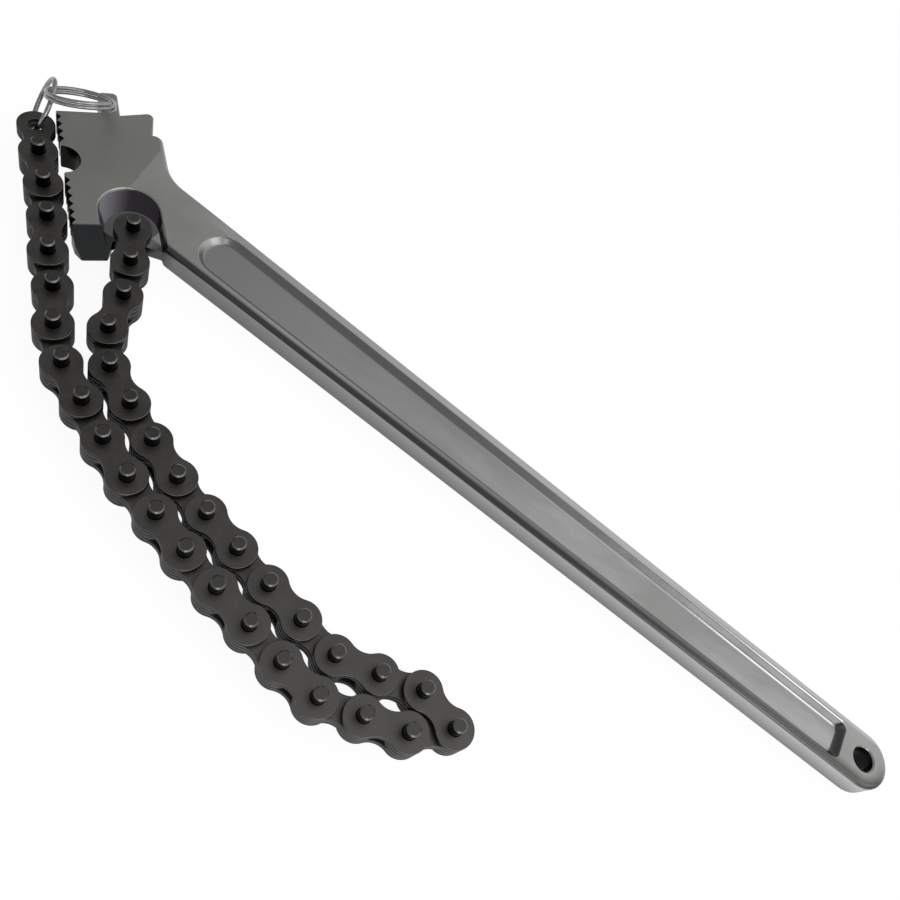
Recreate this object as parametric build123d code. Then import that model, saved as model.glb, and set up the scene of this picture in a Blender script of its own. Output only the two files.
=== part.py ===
from build123d import *
from math import cos, radians, sin
import os

os.makedirs("parts", exist_ok=True)

# Chain wrench lying flat, in millimetres.
# The origin is the centre of the hanging hole, half way through the forging.
# +X runs along the handle to the head, +Y towards the folded chain, +Z out of the face.

# Chain: two outer plates and two inner plates, side by side on each pin
pitch = 12.7
plate_end_gap = 1.5
plate_waist_half = 3.725
plate_t = 1.9
plate_play = 0.1
pin_r = 2.0
pin_play = 0.05
pin_stand = 4.15
pin_tip_bevel = 0.4
end_hole_r = 2.35

# Direction of each link, from the head pivot to the free end, as the chain is laid
link_angles = (
    129, 124, 114, 135, 157, 159, 162, 167, 169, 169, 171, 172, 195, 198, 167, 41, 18,
    16, -6, -11, -10, -11, -14, -14, -19, -22, -23, -36, -45, -40, -44, -41, -39, -42,
)

# Handle: a flat forged bar that widens towards the head
face_half = 4.6
bar_lower_end = 8.8
bar_upper_end = 9.2
bar_lower_head = 11.4
bar_upper_head = 11.4
bar_taper_run = 266.5
bar_edge_r = 1.6
hang_hole_r = 3.7
hang_hole_bevel = 0.4

# Sunk panel on each face of the handle
panel_start = 8.5
panel_end_gap = 6.5
panel_end = bar_taper_run - panel_end_gap
panel_start_half = 6.4
panel_end_half = 7.9
panel_shift = 0.1
panel_depth = 2.0
panel_wall_run = 1.7
panel_corner_r = 2.2
panel_rim_r = 0.8
panel_floor_r = 1.2

# Jaw: measured along the tooth line (down) and square to it (in), from one point on that line
jaw_x = 308.5
jaw_y = 8.0
jaw_angle = 139.8
quarter_turn = 90
tooth_pitch = 3.06
tooth_depth = 1.4
tooth_tip_out = 0.3
lower_gap_first = 9.2
upper_gap_first = 7.6
notch_r = 5.4
notch_out = 0.4
notch_down = 0.8
jaw_top = 20.0
jaw_top_drop = 0.5
jaw_bottom = 26.2

# Bore for the first link's pin
pivot_in = 16.92
pivot_down = 26.43

# Upper horn and the step behind it, which hold the chain between them
upper_horn_left = 13.0
upper_horn_right = 19.0
upper_horn_top = 29.0
upper_horn_corner_r = 1.5
saddle_in = 18.8
saddle_up = 19.3
step_right = 29.6
step_top = 21.4
step_corner_r = 1.8
step_root_in = 28.0
step_root_up = 12.0
neck_in = 30.9
shoulder_r = 2.8
neck_r = 14.0

# Lower horn: a wedge that runs out to a thin tip, and the throat beside it
throat_drop = 3.8
throat_start = jaw_bottom + throat_drop
lower_horn_reach = 5.8
lower_horn_tip = throat_start + lower_horn_reach
lower_horn_tip_in = 1.5
lower_horn_tip_right = 8.7
lower_horn_cut_drop = 1.8
lower_horn_cut_down = throat_start + lower_horn_cut_drop
lower_horn_cut_in = 0.0
lower_horn_cut_right = 10.3
lower_horn_right = 10.4
lower_horn_corner_r = 0.8
lower_horn_tip_half = 0.35
throat_mid_in = 20.0
throat_mid_down = 32.3
throat_r = 7.0
throat_root_r = 1.2

# Pocket on each face, scooped down from its rim to the web that carries the first link
pocket_in = 16.7
pocket_down = 20.5
pocket_floor_r = 7.9
pocket_wall_run = 1.45
pocket_rim_run = 0.6
pocket_rim_depth = 0.7
pocket_rim_r = 0.5
head_edge_bevel = 0.4

# Connector ring through the chain's last hole, and the two-turn ring that it carries
connector_r = 8.77
connector_wire_r = 0.75
connector_bite = 0.45
connector_heading_angle = -59.97
connector_rise_angle = 18.78
connector_face_angle = 38.34
connector_tilt_angle = 23.02
ring_r = 9.88
ring_wire_r = 0.6
ring_turn_gap = 0.1
ring_turns = 2
ring_slack = 0.96
ring_seat_heading_angle = -121.96
ring_seat_rise_angle = 65.71
ring_heading_angle = -164.49
ring_lift_angle = 14.72
ring_face_angle = -47.59
ring_tilt_angle = 59.86

cut_over = 2.0

# Round plate ends leave a gap between neighbours on one strand
plate_end_r = (pitch - plate_end_gap) / 2

# Layers of the chain, out from the middle plane
inner_low = plate_play / 2
inner_high = inner_low + plate_t
outer_low = inner_high + plate_play
outer_high = outer_low + plate_t
pin_half = outer_high + pin_stand
web_half = inner_high


def jaw_point(inward, down):
    """Place a point that is measured from the tooth line."""
    a = radians(jaw_angle)
    x = jaw_x - inward * sin(a) + down * cos(a)
    y = jaw_y + inward * cos(a) + down * sin(a)
    return (x, y)


def direction(heading, rise):
    """Unit vector at a heading in plan and a rise above the plan."""
    h = radians(heading)
    r = radians(rise)
    return Vector(cos(r) * cos(h), cos(r) * sin(h), sin(r))


def slab(face, low, high):
    """Extrude a plan face between two heights."""
    return extrude(Pos(0, 0, low) * face, amount=high - low)


def pin_places():
    """Every pin centre, walked link by link from the head pivot."""
    x, y = jaw_point(pivot_in, pivot_down)
    places = [(x, y)]
    for angle in link_angles:
        x += pitch * cos(radians(angle))
        y += pitch * sin(radians(angle))
        places.append((x, y))
    return places


def rounded(points, radii):
    """Closed outline with its corners rounded; a radius of zero leaves a corner sharp."""
    face = make_face(Polyline(*points, close=True))
    for place, radius in zip(points, radii):
        if radius > 0:
            corner = face.vertices().sort_by_distance(Vector(*place))[0]
            face = fillet(corner, radius)
    return face


def jaw_outline():
    """Plan of the head: tooth line, both horns, the step, the neck and the throat."""
    top = -upper_horn_top
    bar_top_x = bar_taper_run
    corners = [
        (jaw_point(-tooth_tip_out, -jaw_top + jaw_top_drop), head_edge_bevel),
        (jaw_point(-tooth_tip_out, jaw_bottom), 0),
        (jaw_point(lower_horn_cut_in, lower_horn_cut_down), lower_horn_corner_r),
        (jaw_point(lower_horn_tip_in, lower_horn_tip), lower_horn_corner_r),
        (jaw_point(lower_horn_tip_right, lower_horn_tip), lower_horn_corner_r),
        (jaw_point(lower_horn_cut_right, lower_horn_cut_down), lower_horn_corner_r),
        (jaw_point(lower_horn_right, throat_start), throat_root_r),
        (jaw_point(throat_mid_in, throat_mid_down), throat_r),
        ((bar_top_x, bar_lower_head), 0),
        ((bar_top_x, -bar_upper_head), 0),
        (neck_foot(), neck_r),
        (jaw_point(neck_in, -step_root_up), shoulder_r),
        (jaw_point(step_root_in, -step_root_up), 0),
        (jaw_point(step_right, -step_top), step_corner_r),
        (jaw_point(saddle_in, -saddle_up), 0),
        (jaw_point(upper_horn_right, top), upper_horn_corner_r),
        (jaw_point(upper_horn_left, top), upper_horn_corner_r),
        (jaw_point(upper_horn_left, -jaw_top), head_edge_bevel),
    ]
    return rounded([c[0] for c in corners], [c[1] for c in corners])


def neck_foot():
    """Where the straight neck would meet the bar's upper edge."""
    x0, y0 = jaw_point(neck_in, 0)
    run = (-bar_upper_head - y0) / sin(radians(jaw_angle))
    return jaw_point(neck_in, run)


def bar_outline():
    """Plan of the bar from its round end to the head."""
    end = (bar_lower_end + bar_upper_end) / 2
    lower = Line((0, bar_lower_end), (bar_taper_run, bar_lower_head))
    head = Line((bar_taper_run, bar_lower_head), (bar_taper_run, -bar_upper_head))
    upper = Line((bar_taper_run, -bar_upper_head), (0, -bar_upper_end))
    nose = (bar_lower_end - bar_upper_end) / 2
    tip = ThreePointArc((0, -bar_upper_end), (-end, nose), (0, bar_lower_end))
    return make_face([lower, head, upper, tip])


def panel_face(inset):
    """Plan of the sunk panel, drawn in from its rim by an inset."""
    start = panel_start + inset
    centre = panel_end - panel_end_half
    near = panel_start_half - inset
    far = panel_end_half - inset
    edges = [
        Line((start, near), (centre, far)),
        ThreePointArc((centre, far), (centre + far, 0), (centre, -far)),
        Line((centre, -far), (start, -near)),
        Line((start, -near), (start, near)),
    ]
    face = make_face(edges)
    near_corners = face.vertices().sort_by(Axis.X)[:2]
    return Pos(0, panel_shift, 0) * fillet(near_corners, panel_corner_r)


def pocket_face(down, r):
    """Plan of the pocket at one depth: an arch that runs out through the throat."""
    out = lower_horn_tip + cut_over - down
    edges = [
        Line((-r, 0), (-r, -out)),
        Line((-r, -out), (r, -out)),
        Line((r, -out), (r, 0)),
        ThreePointArc((r, 0), (0, r), (-r, 0)),
    ]
    x, y = jaw_point(pocket_in, down)
    return Pos(x, y, 0) * Rot(0, 0, jaw_angle + quarter_turn) * make_face(edges)


def pocket_tool():
    """Scoop on both faces: steep below the rim, then shallow down to the web."""
    rim_r = pocket_floor_r + pocket_wall_run
    over = cut_over * pocket_rim_run / pocket_rim_depth
    bend = Pos(0, 0, face_half - pocket_rim_depth) * pocket_face(pocket_down, rim_r - pocket_rim_run)
    above = Pos(0, 0, face_half + cut_over) * pocket_face(pocket_down, rim_r + over)
    web = Pos(0, 0, web_half) * pocket_face(pivot_down, pocket_floor_r)
    tool = loft([web, bend]) + loft([bend, above])
    return tool + mirror(tool, about=Plane.XY)


def sunk(rim, floor, low, high):
    """Tapered recess tool between a floor plan and a rim plan, on both faces."""
    tool = loft([Pos(0, 0, low) * floor, Pos(0, 0, high) * rim])
    return tool + mirror(tool, about=Plane.XY)


def gap_places(first, end):
    """Places of the vee gaps, from the first one to the last that fits before the end."""
    room = end - tooth_pitch / 2 - first
    return [first + i * tooth_pitch for i in range(int(room / tooth_pitch) + 1)]


def tooth_gaps():
    """Vee gaps along the tooth line, above and below the round notch."""
    downs = gap_places(lower_gap_first, jaw_bottom)
    downs += [-up for up in gap_places(upper_gap_first, jaw_top - jaw_top_drop)]
    half = tooth_pitch / 2
    slope = half / tooth_depth
    mouth = half + cut_over * slope
    tool = None
    for down in downs:
        vee = [
            jaw_point(-tooth_tip_out + tooth_depth, down),
            jaw_point(-tooth_tip_out - cut_over, down - mouth),
            jaw_point(-tooth_tip_out - cut_over, down + mouth),
        ]
        face = make_face(Polyline(*vee, close=True))
        cut = slab(face, -face_half - cut_over, face_half + cut_over)
        tool = cut if tool is None else tool + cut
    return tool


def horn_wedge():
    """Tool that thins the lower horn from its crease to its tip, on both faces."""
    fall = (face_half - lower_horn_tip_half) / (lower_horn_tip - jaw_bottom)
    far = lower_horn_tip + cut_over
    low = lower_horn_tip_half - fall * cut_over
    left = -tooth_tip_out - cut_over
    right = lower_horn_right + cut_over
    side = [
        (jaw_bottom, face_half),
        (far, low),
        (far, face_half + cut_over),
        (jaw_bottom, face_half + cut_over),
    ]
    x, y = jaw_point(left, 0)
    a = radians(jaw_angle)
    along = Vector(cos(a), sin(a), 0)
    plane = Plane(origin=(x, y, 0), x_dir=along, z_dir=along.cross(Vector(0, 0, 1)))
    face = plane * make_face(Polyline(*side, close=True))
    inward = Vector(-sin(a), cos(a), 0)
    tool = extrude(face, amount=right - left, dir=inward)
    return tool + mirror(tool, about=Plane.XY)


def handle():
    """The forging: bar, panels, head, teeth, horns, pocket and bores."""
    body = slab(bar_outline() + jaw_outline(), -face_half, face_half).clean()
    body = fillet(bar_rim(body), bar_edge_r)
    body = chamfer(head_rim(body), head_edge_bevel)
    body -= horn_wedge()
    body -= tooth_gaps()
    x, y = jaw_point(-notch_out, notch_down)
    body -= Pos(x, y, 0) * Cylinder(notch_r, 2 * (face_half + cut_over))
    floor = face_half - panel_depth
    over = cut_over * panel_wall_run / panel_depth
    body -= sunk(panel_face(-over), panel_face(panel_wall_run), floor, face_half + cut_over)
    body -= pocket_tool()
    body = fillet(pocket_rim(body), pocket_rim_r)
    body = fillet(panel_edges(body, floor), panel_floor_r)
    body = fillet(panel_edges(body, face_half), panel_rim_r)
    x, y = pin_places()[0]
    body -= Pos(x, y, 0) * Cylinder(pin_r + pin_play, 2 * face_half)
    body -= Cylinder(hang_hole_r, 2 * (face_half + cut_over))
    mouth = body.edges().filter_by(GeomType.CIRCLE)
    mouth = [e for e in mouth if abs(e.radius - hang_hole_r) < plate_play]
    mouth = [e for e in mouth if e.arc_center.X < hang_hole_r]
    return chamfer(mouth, hang_hole_bevel)


def rim_edges(solid):
    """Edges that lie in the two outer faces."""
    return [e for e in solid.edges() if abs(abs(e.center().Z) - face_half) < plate_play]


def bar_rim(solid):
    """Edges of the bar, up to the throat and the neck."""
    limit = bar_taper_run + bar_edge_r
    return [e for e in rim_edges(solid) if e.center().X < limit]


def head_frame(place):
    """Distances of a place into the head and down along the tooth line."""
    a = radians(jaw_angle)
    inward = -(place.X - jaw_x) * sin(a) + (place.Y - jaw_y) * cos(a)
    down = (place.X - jaw_x) * cos(a) + (place.Y - jaw_y) * sin(a)
    return inward, down


def head_rim(solid):
    """Edges round the step and the upper horn."""
    picked = []
    for e in rim_edges(solid):
        inward, down = head_frame(e.center())
        if down < -step_root_up and -tooth_tip_out + pin_r < inward < neck_in:
            picked.append(e)
    return picked


def pocket_rim(solid):
    """Edges where the pocket meets the two outer faces."""
    rim_r = pocket_floor_r + pocket_wall_run
    picked = []
    for e in rim_edges(solid):
        inward, down = head_frame(e.center())
        leg = abs(abs(inward - pocket_in) - rim_r) < pin_play and down > pocket_down
        arch = e.geom_type == GeomType.CIRCLE and abs(e.radius - rim_r) < pin_play
        if leg or arch:
            picked.append(e)
    return picked


def panel_edges(solid, height):
    """Edges of both panels at one height."""
    picked = []
    for e in solid.edges():
        box = e.bounding_box()
        level = abs(abs(e.center().Z) - height) < pin_play and box.size.Z < pin_play
        across = max(abs(box.min.Y), abs(box.max.Y)) < panel_end_half + pin_play + panel_shift
        along = box.min.X > panel_start - pin_play and box.max.X < panel_end + pin_play
        if level and across and along:
            picked.append(e)
    return picked


def plate(hole_a, hole_b):
    """Waisted link plate with a hole at each end, lying along +X from its first pin."""
    reach = pitch / 2
    hollow_r = (reach**2 + plate_waist_half**2 - plate_end_r**2) / (2 * (plate_end_r - plate_waist_half))
    centre = plate_waist_half + hollow_r
    part = plate_end_r / (plate_end_r + hollow_r)
    touch_x = reach * (1 - part)
    touch_y = centre * part
    edges = [
        ThreePointArc((-touch_x, touch_y), (0, plate_waist_half), (touch_x, touch_y)),
        ThreePointArc((touch_x, touch_y), (reach + plate_end_r, 0), (touch_x, -touch_y)),
        ThreePointArc((touch_x, -touch_y), (0, -plate_waist_half), (-touch_x, -touch_y)),
        ThreePointArc((-touch_x, -touch_y), (-reach - plate_end_r, 0), (-touch_x, touch_y)),
    ]
    face = make_face(edges)
    face -= Pos(-reach, 0, 0) * Circle(hole_a)
    face -= Pos(reach, 0, 0) * Circle(hole_b)
    return Pos(reach, 0, 0) * face


def plate_pair(place, angle, low, high, hole_a, hole_b):
    """The two plates of one link, above and below the middle plane."""
    face = Pos(place[0], place[1], 0) * Rot(0, 0, angle) * plate(hole_a, hole_b)
    return Compound(children=[slab(face, low, high), slab(face, -high, -low)])


def link_pin(place):
    """A plain pin with bevelled tips."""
    pin = Cylinder(pin_r, 2 * pin_half)
    pin = chamfer(pin.edges().filter_by(GeomType.CIRCLE), pin_tip_bevel)
    return Pos(place[0], place[1], 0) * pin


def connector_frame(hole):
    """Centre and face direction of the connector ring."""
    arm = direction(connector_heading_angle, connector_rise_angle)
    centre = Vector(hole[0], hole[1], 0) + arm * (connector_r - connector_bite)
    return centre, direction(connector_face_angle, connector_tilt_angle)


def connector_ring(hole):
    """Single turn of wire through the chain's last hole."""
    centre, facing = connector_frame(hole)
    return Plane(origin=centre, z_dir=facing) * Torus(connector_r, connector_wire_r)


def half_turn(rise, start):
    """Half a turn of the split ring's wire, which climbs by a rise from its start angle."""
    reach = Vector(ring_r, 0, rise / 2).length
    section = Pos(reach, 0, 0) * (Plane.XZ * Circle(ring_wire_r))
    lean = Vector(ring_r, 0, 0).get_angle(Vector(ring_r, 0, rise / 2))
    return Rot(0, 0, start) * Rot(0, lean, 0) * revolve(section, Axis.Z, 2 * quarter_turn)


def split_ring(hole):
    """Two turns of wire, wound side by side, hanging in the connector ring."""
    centre = connector_frame(hole)[0]
    rise = ring_wire_r + ring_turn_gap / 2
    halves = 2 * ring_turns
    wire = None
    for i in range(halves):
        level = rise * (i - (halves - 1) / 2)
        part = Pos(0, 0, level) * half_turn(rise, i * 2 * quarter_turn)
        wire = part if wire is None else wire + part
    reach = connector_r - connector_wire_r - ring_wire_r - ring_slack
    seat = centre + direction(ring_seat_heading_angle, ring_seat_rise_angle) * reach
    away = direction(ring_heading_angle, ring_lift_angle)
    middle = seat + away * ring_r
    facing = direction(ring_face_angle, ring_tilt_angle)
    return Plane(origin=middle, x_dir=away, z_dir=facing) * wire


def main():
    places = pin_places()
    export_step(handle(), "parts/handle.step")
    count = len(link_angles)
    for i in range(0, count, 2):
        n = i // 2 + 1
        outer = plate_pair(places[i], link_angles[i], outer_low, outer_high, pin_r, pin_r)
        export_step(outer, f"parts/outer_plates_{n:02d}.step")
        pins = Compound(children=[link_pin(places[i]), link_pin(places[i + 1])])
        export_step(pins, f"parts/link_pins_{n:02d}.step")
        loose = pin_r + pin_play
        last = end_hole_r if i + 2 == count else loose
        inner = plate_pair(places[i + 1], link_angles[i + 1], inner_low, inner_high, loose, last)
        export_step(inner, f"parts/inner_plates_{n:02d}.step")
    export_step(connector_ring(places[-1]), "parts/connector_ring.step")
    export_step(split_ring(places[-1]), "parts/split_ring.step")


main()
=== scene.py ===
import math

import bpy
from mathutils import Matrix, Vector


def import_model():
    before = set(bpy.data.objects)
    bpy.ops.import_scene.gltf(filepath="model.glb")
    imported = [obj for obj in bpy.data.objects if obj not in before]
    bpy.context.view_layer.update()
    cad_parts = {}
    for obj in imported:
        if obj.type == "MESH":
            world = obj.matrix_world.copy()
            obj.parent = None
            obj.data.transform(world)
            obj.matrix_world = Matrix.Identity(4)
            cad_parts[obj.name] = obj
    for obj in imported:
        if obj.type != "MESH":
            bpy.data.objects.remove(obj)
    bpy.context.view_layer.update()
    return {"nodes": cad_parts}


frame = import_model()
nodes = frame["nodes"]

MM = 0.001
X_AXIS = (1, 0, 0)
Y_AXIS = (0, 1, 0)
Z_AXIS = (0, 0, 1)
PLAN = (1, 1, 0)


def mm(*values):
    """Millimetres as metres, one after another."""
    return tuple(value * MM for value in values)


def grey(value, warm=0.0):
    """A grey that leans to warm or, below zero, to cool."""
    return (value * (1 + warm), value, value * (1 - warm), 1.0)


# Camera, worked out from the places of the pin tips in the photograph
CAMERA_PLACE = Vector((158.2, 159.3, 222.9)) * MM
CAMERA_RIGHT = Vector((-0.786174, -0.507239, 0.353043))
CAMERA_UP = Vector((0.617976, -0.639619, 0.457159))
CAMERA_LENS = 34.8
CAMERA_SENSOR = 36.0
CAMERA_CLIP = 0.01

# Head frame: a point on the tooth line, the direction into the head and the one down the teeth
HEAD_POINT = Vector((308.5, 8.0, 0.0)) * MM
HEAD_IN = Vector((-0.645458, -0.763796, 0.0))
HEAD_DOWN = Vector((-0.763796, 0.645458, 0.0))


def head_place(inward, down):
    """Place on the head, from millimetres into it and down the teeth."""
    return HEAD_POINT + HEAD_IN * inward * MM + HEAD_DOWN * down * MM


# Middles of the round notch, the hanging hole and the pocket
NOTCH = head_place(-0.4, 0.8)
HOLE = Vector((0.0, 0.0, 0.0))
POCKET = head_place(16.7, 20.5)

# Masks of the forging are zero at the first of two values and one at the second.
# Where there are four, the last two take the place of zero and one.
# ALONG is measured from the hanging hole, ACROSS and HEIGHT from the handle's middle,
# LEVEL is one on a flat face and zero on an upright one, and LEAN is the slope to one side.
# A noise has a scale, a detail and a roughness, and a bump a depth and a strength.
UPRIGHT_LEVEL = (0.3, 0.12)
CLOUD_NOISE = (38.0, 3.0, 0.6)
BAR_ALONG = mm(268, 258)
FAR_ALONG = mm(250, 120)

# Plating of the flats, with clouds in it
PLATING_CLOUDS = (0.35, 0.68)
PLATING_DARK = (0.432, 0.44, 0.425, 1)
PLATING_LIGHT = (0.53, 0.53, 0.515, 1)

# Floor of the sunk panel, painted brighter away from the head as painted light, with wisps of tone; the
# rim behind the panel gets a painted highlight
PANEL_HEIGHT = mm(3.6, 3.0)
PANEL_NEAR = grey(0.37)
PANEL_FAR = grey(0.58)
WISP_NOISE = (60.0, 4.0, 0.6)
WISP_STRETCH = (0.35, 1.3, 1.0)
WISP_MASK = (0.4, 0.62, 0.0, 0.6)
WISP_COLOR = (0.36, 0.375, 0.355, 1)
RIM_ACROSS = mm(-7.0, -7.6)
RIM_SHARES = (0, 1, 0.4, 1)
RIM_HIGHLIGHT_COLOR = grey(0.72)

# Painted shade on the upper wall of the panel, darkest at both ends
WALL_LEAN = (0.3, 0.5)
WALL_ACROSS = mm(-3, -5)
WALL_MIDDLE_ALONG = mm(175, 97)
WALL_FAR_ALONG = mm(97, 50)
WALL_NEAR = grey(0.25)
WALL_MIDDLE = grey(0.38)
WALL_FAR = grey(0.2)

# Painted highlights: bright creases along the top and the foot of that wall, which are also smoother
CREASE_LEAN = (0.06, 0.14)
CREASE_LEAN_END = (0.55, 0.42)
CREASE_ACROSS = mm(-4, -5)
CREASE_ALONG = mm(170, 90)
CREASE_HIGHLIGHT_COLOR = grey(0.97)
CREASE_ROUGH = 0.12

# Upright sides, with painted light and shade: darker low down and at the head, lighter towards the top
# edge and the hanging hole
SIDE_ALONG = mm(260, 20)
SIDE_RISE = mm(-3.5, 3.5)
SIDE_LOW_NEAR = grey(0.22, 0.01)
SIDE_LOW_FAR = grey(0.34)
SIDE_HIGH_NEAR = grey(0.3)
SIDE_HIGH_FAR = grey(0.75)
HEAD_SIDE_ALONG = mm(266, 262)
HEAD_SIDE = grey(0.13)

# Painted shade: a dark band inside the lower edge, which follows the bar's taper and its round end
BAND_EDGE = 8.8 * MM
BAND_TAPER = 0.009756
BAND_END_R = 9.0 * MM
BAND_TURN_ALONG = mm(0.5, -0.5)
BAND_START = 1.3 * MM
BAND_WIDTH = mm(40, 200, 4.4, 2.3)
BAND_LEVEL = (0.2, 0.5)
BAND_ACROSS = mm(-3, 4)
BAND_SHARE_ALONG = (275 * MM, 268 * MM, 0, 0.85)
BAND_SHADE_COLOR = grey(0.05)

# Painted shade on the end wall of the panel by the hanging hole
STOP_LEAN = (0.15, 0.3)
STOP_START_ALONG = mm(16, 13)
STOP_END_ALONG = mm(5, 7)
STOP_SHARE = 0.8
STOP_SHADE_COLOR = grey(0.04)

# Ground area of the head, which ends on a slanting line behind the step
GROUND_WAY = (0.8155, 0.5788)
GROUND_NOISE = 260.0
GROUND_WAVER = (0.3, 0.7, -0.35 * MM, 0.35 * MM)
GROUND_LINE = mm(21.3, 20.7)
GROUND_HEIGHT = mm(4.45, 4.58)
GRINDING_NOISE = (300.0, 2.0, 0.5)
GRINDING_STRETCH = (6.0, 0.3, 1.0)
GRINDING_LINES = (0.35, 0.65)
GRINDING_DARK = (0.37, 0.38, 0.353, 1)
GRINDING_LIGHT = (0.39, 0.4, 0.373, 1)
GRINDING_CLOUDS = (0.4, 0.7, 0.0, 0.6)
GRINDING_CLOUD = (0.335, 0.345, 0.32, 1)
GRINDING_ROUGH = (0.3, 0.7, 0.46, 0.54)

# Wedge of the lower horn
WEDGE_DOWN = mm(25.9, 26.4)
WEDGE_IN = mm(12.5, 11.5)
WEDGE_CLOUDS = (0.3, 0.7)
WEDGE_DARK = grey(0.048, -0.05)
WEDGE_LIGHT = grey(0.066, -0.03)

# Pocket: painted shade in the scoop, with painted light on its side towards the teeth
SCOOP_AWAY = mm(10.2, 9.8)
SCOOP_HEIGHT = mm(4.35, 4.15)
SCOOP_SLOPE = (0.995, 0.96)
SCOOP_WAY = (0.84, 0.54, 0)
SCOOP_LIT = mm(1, 8)
SCOOP_FLOOR = grey(0.17)
SCOOP_DARK = (0.062, 0.056, 0.066, 1)
SCOOP_LIGHT = (0.26, 0.25, 0.28, 1)

# Painted shade on the walls of the notch and of the hanging hole
NOTCH_AWAY = mm(6.4, 6.0)
HOLE_AWAY = mm(4.5, 4.2)
PIT_SHADE_COLOR = grey(0.02, 0.04)

# Gloss and small relief of the forging
SHEEN_NOISE = (70.0, 5.0, 0.65)
SHEEN_ROUGH = (0.3, 0.72, 0.2, 0.31)
HAMMER_NOISE = (120.0, 2.0, 0.5)
HAMMER_BUMP = (0.15 * MM, 0.14)
GRAIN_NOISE = (1500.0, 3.0, 0.6)
GRAIN_BUMP = (0.02 * MM, 0.35)

# Oxide of the chain: brown bloom, worn grain, and lighter towards the chain's fold
BLOOM_NOISE = (150.0, 4.0, 0.6)
BLOOM_MASK = (0.35, 0.7)
BLOOM_BUMP = (0.12 * MM, 0.25)
FOLD_WAY = (-0.35, 1, 0)
FOLD_PLACE = mm(-20, 60)
FOLD_GAIN = 1.5
FOLD_WARMTH = 0.06
WORN_NOISE = (2600.0, 3.0, 0.65)
WORN_MASK = (0.55, 0.8, 0.0, 0.5)
WORN_GAIN = 1.8
WORN_WARMTH = 0.05
WORN_BUMP = (0.03 * MM, 0.4)
# Painted shade on upright faces, and lighter broken edges: partly wear, partly painted highlight
SKIRT_LEVEL = (0.4, 0.15)
EDGE_LEVEL_FLAT = (0.95, 0.85)
EDGE_LEVEL_UPRIGHT = (0.35, 0.5)
EDGE_GRAIN = (0.3, 0.6, 0.5, 1.0)
OXIDE_ROUGH_NOISE = (420.0, 4.0, 0.6)
OXIDE_ROUGH_MASK = (0.3, 0.7)

# Plated wire of both rings
WIRE_NOISE = (300.0, 4.0, 0.6)
WIRE_MASK = (0.35, 0.7)
WIRE_DARK = grey(0.34)
WIRE_LIGHT = grey(0.52, 0.01)
WIRE_ROUGH = (0.3, 0.7, 0.16, 0.3)
DRAWING_NOISE = (2200.0, 2.0, 0.5)
DRAWING_BUMP = (0.02 * MM, 0.3)

# Broken edges of the chain's plates
PLATE_BEVEL = 0.22 * MM
BEVEL_STEPS = 2
BEVEL_TURN = math.radians(35)
WELD_REACH = 0.002 * MM

# Floor: a share of its light is its own, for the camera and, less so, for reflections
FLOOR_HEIGHT = -8.15 * MM
FLOOR_REACH = 3.0
FLOOR_COLOR = grey(0.86)
FLOOR_GLOW = 1.17
FLOOR_GLOW_SHARE = 0.8
FLOOR_GLOSSY_SHARE = 0.45

# Room light by direction, where each direction runs from -1 to 1. The stops run along Y.
ROOM_STOPS = [(0.0, 0.5), (0.28, 0.55), (0.4, 0.42), (0.5, 0.2), (0.62, 0.07), (1.0, 0.06)]
ROOM_COOL = 1.02
ROOM_GAIN_X = (-1, 1, 1.55, 0.45)
HORIZON_Z = (0.1, 0.3, 1, 0)
HORIZON_X = (-0.6, 0.5, 1, 0.15)
HORIZON_Y = (0.1, 0.5, 0, 0.9)
SKY_Y = (0.0, 0.3, 0, 1)
SKY_X = (-0.7, 0.1, 0.3, 0.0)
BACKDROP_GLOSSY_X = (-1, 1, 0.45, 0.28)

# Lamps: the place that they face, and how far off they stand
LAMP_AIM = Vector((0.17, 0.03, 0.0))
LAMP_DISTANCE = 1.0


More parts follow.
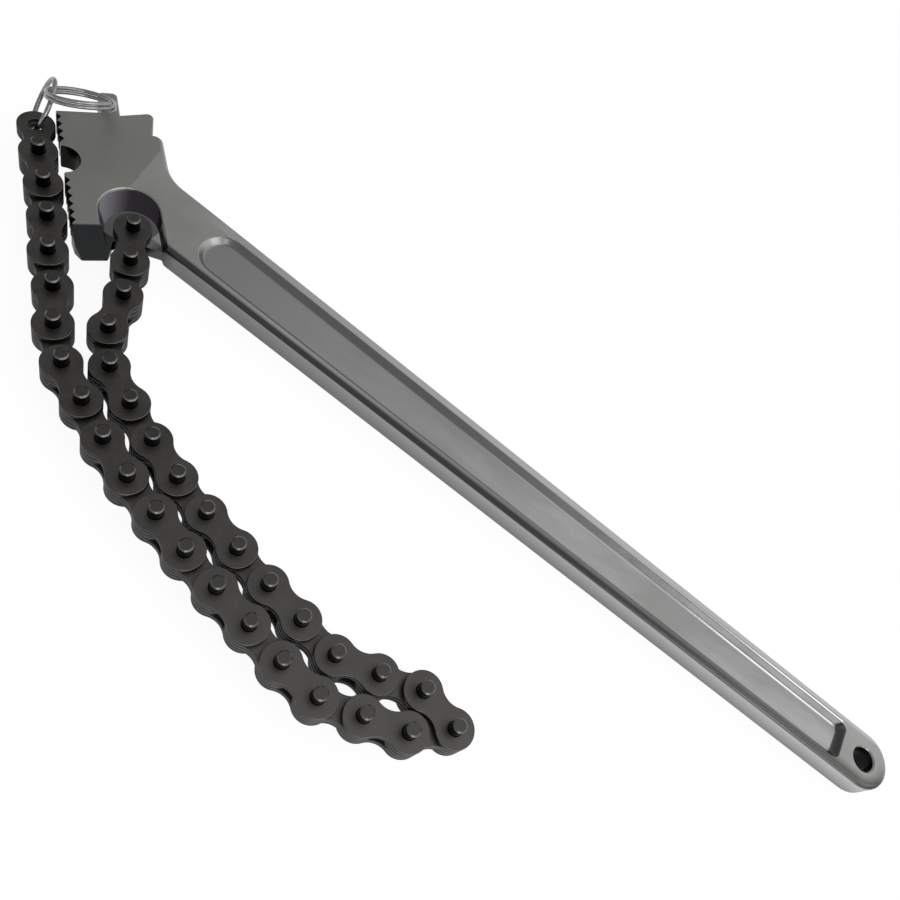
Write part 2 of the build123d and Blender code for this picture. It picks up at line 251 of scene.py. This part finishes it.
class Shade:
    """A material's node tree, built up by short calls."""

    # Sockets of Blender's mix node: two inputs and the output, for colours and for numbers
    COLOR_SOCKETS = (6, 7, 2)
    NUMBER_SOCKETS = (2, 3, 0)

    def __init__(self, name):
        self.material = bpy.data.materials.new(name)
        self.material.use_nodes = True
        self.tree = self.material.node_tree
        self.tree.nodes.clear()
        self.place = self.node("ShaderNodeTexCoord").outputs["Object"]

    def node(self, kind, **values):
        made = self.tree.nodes.new(kind)
        for name, value in values.items():
            setattr(made, name, value)
        return made

    def feed(self, socket, value):
        """Link a socket, or set its value."""
        if isinstance(value, bpy.types.NodeSocket):
            self.tree.links.new(value, socket)
        elif value is not None:
            socket.default_value = value

    def maths(self, operation, *values, clamp=False):
        made = self.node("ShaderNodeMath", operation=operation, use_clamp=clamp)
        for socket, value in zip(made.inputs, values):
            self.feed(socket, value)
        return made.outputs[0]

    def product(self, first, *others):
        for other in others:
            first = self.maths("MULTIPLY", first, other)
        return first

    def vectors(self, operation, a, b=None, output="Vector"):
        made = self.node("ShaderNodeVectorMath", operation=operation)
        self.feed(made.inputs[0], a)
        self.feed(made.inputs[1], b)
        return made.outputs[output]

    def dot(self, vector, axis):
        return self.vectors("DOT_PRODUCT", vector, axis, "Value")

    def plan(self):
        """Place as seen from above."""
        return self.vectors("MULTIPLY", self.place, PLAN)

    def stretched(self, scale):
        made = self.node("ShaderNodeMapping")
        self.feed(made.inputs["Vector"], self.place)
        self.feed(made.inputs["Scale"], scale)
        return made.outputs["Vector"]

    def noise(self, scale, detail=4.0, roughness=0.55, vector=None):
        made = self.node("ShaderNodeTexNoise")
        self.feed(made.inputs["Vector"], self.place if vector is None else vector)
        self.feed(made.inputs["Scale"], scale)
        self.feed(made.inputs["Detail"], detail)
        self.feed(made.inputs["Roughness"], roughness)
        return made.outputs["Fac"]

    def span(self, value, low, high, out_low=0.0, out_high=1.0):
        """Map one range to another and stop at its ends."""
        made = self.node("ShaderNodeMapRange", clamp=True)
        names = ("Value", "From Min", "From Max", "To Min", "To Max")
        for name, part in zip(names, (value, low, high, out_low, out_high)):
            self.feed(made.inputs[name], part)
        return made.outputs["Result"]

    def mixed(self, kind, sockets, share, a, b):
        made = self.node("ShaderNodeMix", data_type=kind)
        self.feed(made.inputs["Factor"], share)
        self.feed(made.inputs[sockets[0]], a)
        self.feed(made.inputs[sockets[1]], b)
        return made.outputs[sockets[2]]

    def mix(self, share, a, b):
        """Colour between two, at a share of the second."""
        return self.mixed("RGBA", self.COLOR_SOCKETS, share, a, b)

    def blend(self, share, a, b):
        """Number between two, at a share of the second."""
        return self.mixed("FLOAT", self.NUMBER_SOCKETS, share, a, b)

    def near(self, point, far, close):
        """One inside a circle about a point seen from above, zero outside it."""
        away = self.vectors("DISTANCE", self.plan(), point, "Value")
        return self.span(away, far, close)

    def normal(self):
        return self.node("ShaderNodeNewGeometry").outputs["Normal"]

    def bump(self, height, distance, strength, normal=None):
        made = self.node("ShaderNodeBump")
        self.feed(made.inputs["Distance"], distance)
        self.feed(made.inputs["Strength"], strength)
        self.feed(made.inputs["Height"], height)
        self.feed(made.inputs["Normal"], normal)
        return made.outputs["Normal"]

    def finish(self, color, roughness, normal):
        """Close the tree as bare metal."""
        shader = self.node("ShaderNodeBsdfPrincipled")
        self.feed(shader.inputs["Base Color"], color)
        self.feed(shader.inputs["Roughness"], roughness)
        self.feed(shader.inputs["Normal"], normal)
        self.feed(shader.inputs["Metallic"], 1.0)
        return self.show(shader.outputs[0])

    def show(self, surface):
        out = self.node("ShaderNodeOutputMaterial")
        self.feed(out.inputs["Surface"], surface)
        return self.material


class Forging(Shade):
    """Plated forging, with the faces of the head ground flat and left darker."""

    def __init__(self):
        super().__init__("plated_forging")
        offset = self.vectors("SUBTRACT", self.place, HEAD_POINT)
        self.inward = self.dot(offset, HEAD_IN)
        self.down = self.dot(offset, HEAD_DOWN)
        self.along = self.dot(self.place, X_AXIS)
        self.across = self.dot(self.place, Y_AXIS)
        self.rise = self.dot(self.place, Z_AXIS)
        self.height = self.maths("ABSOLUTE", self.rise)
        self.facing = self.normal()
        self.leaning = self.dot(self.facing, Y_AXIS)
        self.level = self.maths("ABSOLUTE", self.dot(self.facing, Z_AXIS))
        self.side = self.span(self.level, *UPRIGHT_LEVEL)
        self.bar = self.span(self.along, *BAR_ALONG)
        self.clouds = self.noise(*CLOUD_NOISE)
        self.grinding = self.noise(*GRINDING_NOISE, self.stretched(GRINDING_STRETCH))

    def panel(self, color):
        """Panel floor painted brighter away from the head as painted light, and a painted highlight on the
        rim behind it.
        """
        far = self.span(self.along, *FAR_ALONG)
        floor = self.mix(far, PANEL_NEAR, PANEL_FAR)
        wisps = self.noise(*WISP_NOISE, self.stretched(WISP_STRETCH))
        floor = self.mix(self.span(wisps, *WISP_MASK), floor, WISP_COLOR)
        color = self.mix(self.product(self.span(self.height, *PANEL_HEIGHT), self.bar), color, floor)
        rim = self.product(self.span(self.across, *RIM_ACROSS), self.bar, self.span(far, *RIM_SHARES))
        return self.mix(rim, color, RIM_HIGHLIGHT_COLOR)

    def wall(self, color):
        """Painted shade on the upper wall of the panel."""
        wall = self.product(self.span(self.leaning, *WALL_LEAN), self.span(self.across, *WALL_ACROSS))
        steep = self.mix(self.span(self.along, *WALL_MIDDLE_ALONG), WALL_NEAR, WALL_MIDDLE)
        steep = self.mix(self.span(self.along, *WALL_FAR_ALONG), steep, WALL_FAR)
        return self.mix(self.product(wall, self.bar), color, steep)

    def crease(self):
        """Where the painted highlights on the creases of that wall are."""
        start = self.span(self.leaning, *CREASE_LEAN)
        end = self.span(self.leaning, *CREASE_LEAN_END)
        across = self.span(self.across, *CREASE_ACROSS)
        return self.product(start, end, across, self.span(self.along, *CREASE_ALONG))

    def sides(self, color):
        """Upright sides of the bar and of the head, with painted light and shade."""
        far = self.span(self.along, *SIDE_ALONG)
        low = self.mix(far, SIDE_LOW_NEAR, SIDE_LOW_FAR)
        high = self.mix(far, SIDE_HIGH_NEAR, SIDE_HIGH_FAR)
        bar = self.mix(self.span(self.rise, *SIDE_RISE), low, high)
        # painted shade: the head's sides dark, the bar's sides lit by height and place
        dull = self.mix(self.span(self.along, *HEAD_SIDE_ALONG), HEAD_SIDE, bar)
        return self.mix(self.side, color, dull)

    def band(self, color):
        """Painted shade: a dark band at a distance inside the lower edge."""
        edge = self.maths("ADD", self.maths("MULTIPLY", self.along, BAND_TAPER), BAND_EDGE)
        inside = self.maths("SUBTRACT", edge, self.across)
        tip = self.maths("SUBTRACT", BAND_END_R, self.vectors("LENGTH", self.plan(), output="Value"))
        inside = self.blend(self.span(self.along, *BAND_TURN_ALONG), inside, tip)
        width = self.span(self.along, *BAND_WIDTH)
        band = self.maths("SUBTRACT", 1.0, self.span(inside, BAND_START, width))
        band = self.product(band, self.span(self.level, *BAND_LEVEL), self.span(self.across, *BAND_ACROSS))
        band = self.product(band, self.span(self.along, *BAND_SHARE_ALONG))
        return self.mix(band, color, BAND_SHADE_COLOR)

    def stop(self, color):
        """Painted shade on the end wall of the panel."""
        start = self.span(self.along, *STOP_START_ALONG)
        end = self.span(self.along, *STOP_END_ALONG)
        lean = self.span(self.dot(self.facing, X_AXIS), *STOP_LEAN)
        return self.mix(self.product(lean, start, end, STOP_SHARE), color, STOP_SHADE_COLOR)

    def ground(self):
        """Where the head is ground, up to a line that wavers a little."""
        inward, down = GROUND_WAY
        line = self.maths("ADD", self.product(self.inward, inward), self.product(self.down, down))
        line = self.maths("ADD", line, self.span(self.noise(GROUND_NOISE), *GROUND_WAVER))
        top = self.span(self.height, *GROUND_HEIGHT)
        return self.maths("MULTIPLY", self.span(line, *GROUND_LINE), top, clamp=True)

    def ground_color(self):
        cut = self.mix(self.span(self.grinding, *GRINDING_LINES), GRINDING_DARK, GRINDING_LIGHT)
        return self.mix(self.span(self.clouds, *GRINDING_CLOUDS), cut, GRINDING_CLOUD)

    def wedge(self, color):
        """Lower horn."""
        wedge = self.product(self.span(self.down, *WEDGE_DOWN), self.span(self.inward, *WEDGE_IN))
        dark = self.mix(self.span(self.clouds, *WEDGE_CLOUDS), WEDGE_DARK, WEDGE_LIGHT)
        return self.mix(wedge, color, dark)

    # Painted shade in the pocket's scoop, lighter on the side of the teeth as painted light.
    def pocket(self, color):
        scoop = self.product(self.near(POCKET, *SCOOP_AWAY), self.span(self.height, *SCOOP_HEIGHT))
        slope = self.product(scoop, self.span(self.level, *SCOOP_SLOPE))
        middle = POCKET.dot(Vector(SCOOP_WAY))
        lit = self.span(self.dot(self.place, SCOOP_WAY), *(middle + away for away in SCOOP_LIT))
        color = self.mix(scoop, color, SCOOP_FLOOR)
        return self.mix(slope, color, self.mix(lit, SCOOP_DARK, SCOOP_LIGHT))

    def painted_pit_shade(self, color):
        """Painted shade on the walls of the notch and of the hanging hole."""
        pit = self.maths("MAXIMUM", self.near(NOTCH, *NOTCH_AWAY), self.near(HOLE, *HOLE_AWAY))
        return self.mix(self.product(pit, self.side), color, PIT_SHADE_COLOR)

    def build(self):
        color = self.mix(self.span(self.clouds, *PLATING_CLOUDS), PLATING_DARK, PLATING_LIGHT)
        crease = self.crease()
        ground = self.ground()
        color = self.mix(crease, self.wall(self.panel(color)), CREASE_HIGHLIGHT_COLOR)
        color = self.stop(self.band(self.sides(color)))
        color = self.mix(ground, color, self.ground_color())
        color = self.painted_pit_shade(self.pocket(self.wedge(color)))
        rough = self.span(self.noise(*SHEEN_NOISE), *SHEEN_ROUGH)
        rough = self.blend(crease, rough, CREASE_ROUGH)
        rough = self.blend(ground, rough, self.span(self.grinding, *GRINDING_ROUGH))
        hammered = self.bump(self.noise(*HAMMER_NOISE), *HAMMER_BUMP)
        return self.finish(color, rough, self.bump(self.noise(*GRAIN_NOISE), *GRAIN_BUMP, hammered))


def oxide(name, low, high, rough, side_shade, edge):
    """Dark oxide steel, with painted shade on its upright faces, and lighter broken edges that are partly
    worn and partly a painted highlight.
    """
    s = Shade(name)
    bloom = s.noise(*BLOOM_NOISE)
    grain = s.noise(*WORN_NOISE)
    green = high[1]
    color = s.mix(s.span(bloom, *BLOOM_MASK), low, high)
    fold = s.span(s.dot(s.place, FOLD_WAY), *FOLD_PLACE)
    color = s.mix(fold, color, grey(green * FOLD_GAIN, FOLD_WARMTH))
    color = s.mix(s.span(grain, *WORN_MASK), color, grey(green * WORN_GAIN, WORN_WARMTH))
    level = s.maths("ABSOLUTE", s.dot(s.normal(), Z_AXIS))
    # painted shade on the upright faces
    color = s.mix(s.span(level, *SKIRT_LEVEL), color, side_shade)
    # lighter broken edges: worn in the grain's pattern, and a painted highlight
    broken = s.product(s.span(level, *EDGE_LEVEL_FLAT), s.span(level, *EDGE_LEVEL_UPRIGHT))
    color = s.mix(s.product(broken, s.span(grain, *EDGE_GRAIN)), color, edge)
    dull = s.span(s.noise(*OXIDE_ROUGH_NOISE), *OXIDE_ROUGH_MASK, *rough)
    return s.finish(color, dull, s.bump(grain, *WORN_BUMP, s.bump(bloom, *BLOOM_BUMP)))


def nickel():
    """Bright plated wire with faint drawing lines."""
    s = Shade("nickel_wire")
    patches = s.noise(*WIRE_NOISE)
    color = s.mix(s.span(patches, *WIRE_MASK), WIRE_DARK, WIRE_LIGHT)
    rough = s.span(patches, *WIRE_ROUGH)
    return s.finish(color, rough, s.bump(s.noise(*DRAWING_NOISE), *DRAWING_BUMP))


def dress(name, material, bevel=None):
    """Give a node its material and, if asked, softly broken edges."""
    piece = nodes[name]
    piece.data.materials.clear()
    piece.data.materials.append(material)
    if bevel:
        weld = piece.modifiers.new("weld", "WELD")
        weld.merge_threshold = WELD_REACH
        edge = piece.modifiers.new("edges", "BEVEL")
        edge.width = bevel
        edge.segments = BEVEL_STEPS
        edge.limit_method = "ANGLE"
        edge.angle_limit = BEVEL_TURN
        edge.harden_normals = True


def dress_all():
    """Dress every node by what its name says it is."""
    forging = Forging().build()
    plate = oxide("dark_plate", low=grey(0.08, 0.04), high=grey(0.115, 0.05), rough=(0.36, 0.5),
                  side_shade=grey(0.036, 0.02), edge=grey(0.2))
    pin = oxide("dark_pin", low=grey(0.07, 0.03), high=grey(0.09, 0.04), rough=(0.26, 0.36),
                side_shade=grey(0.008), edge=grey(0.22))
    wire = nickel()
    for name in nodes:
        if name == "handle":
            dress(name, forging)
        elif "plates" in name:
            dress(name, plate, PLATE_BEVEL)
        elif "pins" in name:
            dress(name, pin)
        else:
            dress(name, wire)


def floor():
    """Pale floor that keeps a soft shadow and reads white to the camera."""
    mesh = bpy.data.meshes.new("floor")
    corners = [(-1, -1), (1, -1), (1, 1), (-1, 1)]
    places = [(x * FLOOR_REACH, y * FLOOR_REACH, FLOOR_HEIGHT) for x, y in corners]
    mesh.from_pydata(places, [], [(0, 1, 2, 3)])
    made = bpy.data.objects.new("floor", mesh)
    bpy.context.scene.collection.objects.link(made)
    s = Shade("floor")
    path = s.node("ShaderNodeLightPath").outputs
    glossy = s.maths("MULTIPLY", path["Is Glossy Ray"], FLOOR_GLOSSY_SHARE)
    seen = s.maths("MAXIMUM", path["Is Camera Ray"], glossy)
    seen = s.maths("MAXIMUM", seen, path["Is Transmission Ray"])
    dull = s.node("ShaderNodeBsdfDiffuse")
    s.feed(dull.inputs["Color"], FLOOR_COLOR)
    glow = s.node("ShaderNodeEmission")
    s.feed(glow.inputs["Color"], grey(1.0))
    s.feed(glow.inputs["Strength"], FLOOR_GLOW)
    mix = s.node("ShaderNodeMixShader")
    parts = (s.maths("MULTIPLY", seen, FLOOR_GLOW_SHARE), dull.outputs[0], glow.outputs[0])
    for socket, part in zip(mix.inputs, parts):
        s.feed(socket, part)
    mesh.materials.append(s.show(mix.outputs[0]))


def world():
    """Soft room: bright behind the handle's upper edge and low down beyond the hanging hole."""
    made = bpy.data.worlds.new("room")
    bpy.context.scene.world = made
    made.use_nodes = True
    tree = made.node_tree
    tree.nodes.clear()
    place = tree.nodes.new("ShaderNodeTexCoord")
    split = tree.nodes.new("ShaderNodeSeparateXYZ")
    tree.links.new(place.outputs["Generated"], split.inputs[0])

    def span(axis, low, high, out_low, out_high):
        made = tree.nodes.new("ShaderNodeMapRange")
        tree.links.new(split.outputs[axis], made.inputs["Value"])
        names = ("From Min", "From Max", "To Min", "To Max")
        for name, value in zip(names, (low, high, out_low, out_high)):
            made.inputs[name].default_value = value
        return made.outputs["Result"]

    def maths(operation, a, b):
        made = tree.nodes.new("ShaderNodeMath")
        made.operation = operation
        tree.links.new(a, made.inputs[0])
        tree.links.new(b, made.inputs[1])
        return made.outputs[0]

    ramp = tree.nodes.new("ShaderNodeValToRGB")
    tree.links.new(span("Y", -1, 1, 0, 1), ramp.inputs[0])
    marks = ramp.color_ramp.elements
    while len(marks) < len(ROOM_STOPS):
        marks.new(0.5)
    for mark, (at, value) in zip(marks, ROOM_STOPS):
        mark.position = at
        mark.color = (value, value, value * ROOM_COOL, 1)
    # brighter from the side of the hanging hole than from the side of the head
    light = maths("MULTIPLY", ramp.outputs[0], span("X", *ROOM_GAIN_X))
    horizon = maths("MULTIPLY", span("Z", *HORIZON_Z), span("X", *HORIZON_X))
    horizon = maths("MULTIPLY", horizon, span("Y", *HORIZON_Y))
    light = maths("ADD", light, horizon)
    sky = maths("MULTIPLY", span("Y", *SKY_Y), span("X", *SKY_X))
    light = maths("ADD", light, sky)
    # the camera sees the backdrop white, and the metal a part of that
    path = tree.nodes.new("ShaderNodeLightPath").outputs
    glossy = maths("MULTIPLY", path["Is Glossy Ray"], span("X", *BACKDROP_GLOSSY_X))
    for seen in (glossy, path["Is Transmission Ray"], path["Is Camera Ray"]):
        light = maths("MAXIMUM", light, seen)
    back = tree.nodes.new("ShaderNodeBackground")
    tree.links.new(light, back.inputs["Color"])
    out = tree.nodes.new("ShaderNodeOutputWorld")
    tree.links.new(back.outputs[0], out.inputs["Surface"])


def lamp(name, towards, width, tall, power):
    """Area lamp in a direction from the object's middle, facing it."""
    data = bpy.data.lights.new(name, "AREA")
    data.energy = power
    data.shape = "RECTANGLE"
    data.size = width
    data.size_y = tall
    made = bpy.data.objects.new(name, data)
    way = Vector(towards).normalized()
    made.location = LAMP_AIM + way * LAMP_DISTANCE
    made.rotation_euler = way.to_track_quat("Z", "Y").to_euler()
    bpy.context.scene.collection.objects.link(made)


def camera():
    """Camera at the photograph's viewing angle."""
    data = bpy.data.cameras.new("camera")
    data.lens = CAMERA_LENS
    data.sensor_width = CAMERA_SENSOR
    data.clip_start = CAMERA_CLIP
    made = bpy.data.objects.new("camera", data)
    back = CAMERA_RIGHT.cross(CAMERA_UP)
    turn = Matrix((CAMERA_RIGHT, CAMERA_UP, back)).transposed()
    made.matrix_world = Matrix.Translation(CAMERA_PLACE) @ turn.to_4x4()
    bpy.context.scene.collection.objects.link(made)
    bpy.context.scene.camera = made


dress_all()
floor()
world()
lamp("left", towards=(-0.75, 0.1, 0.65), width=0.8, tall=0.8, power=1.9)
lamp("low", towards=(-0.55, 0.74, 0.4), width=0.3, tall=0.45, power=0.9)
camera()

bpy.context.scene.view_settings.view_transform = "Standard"
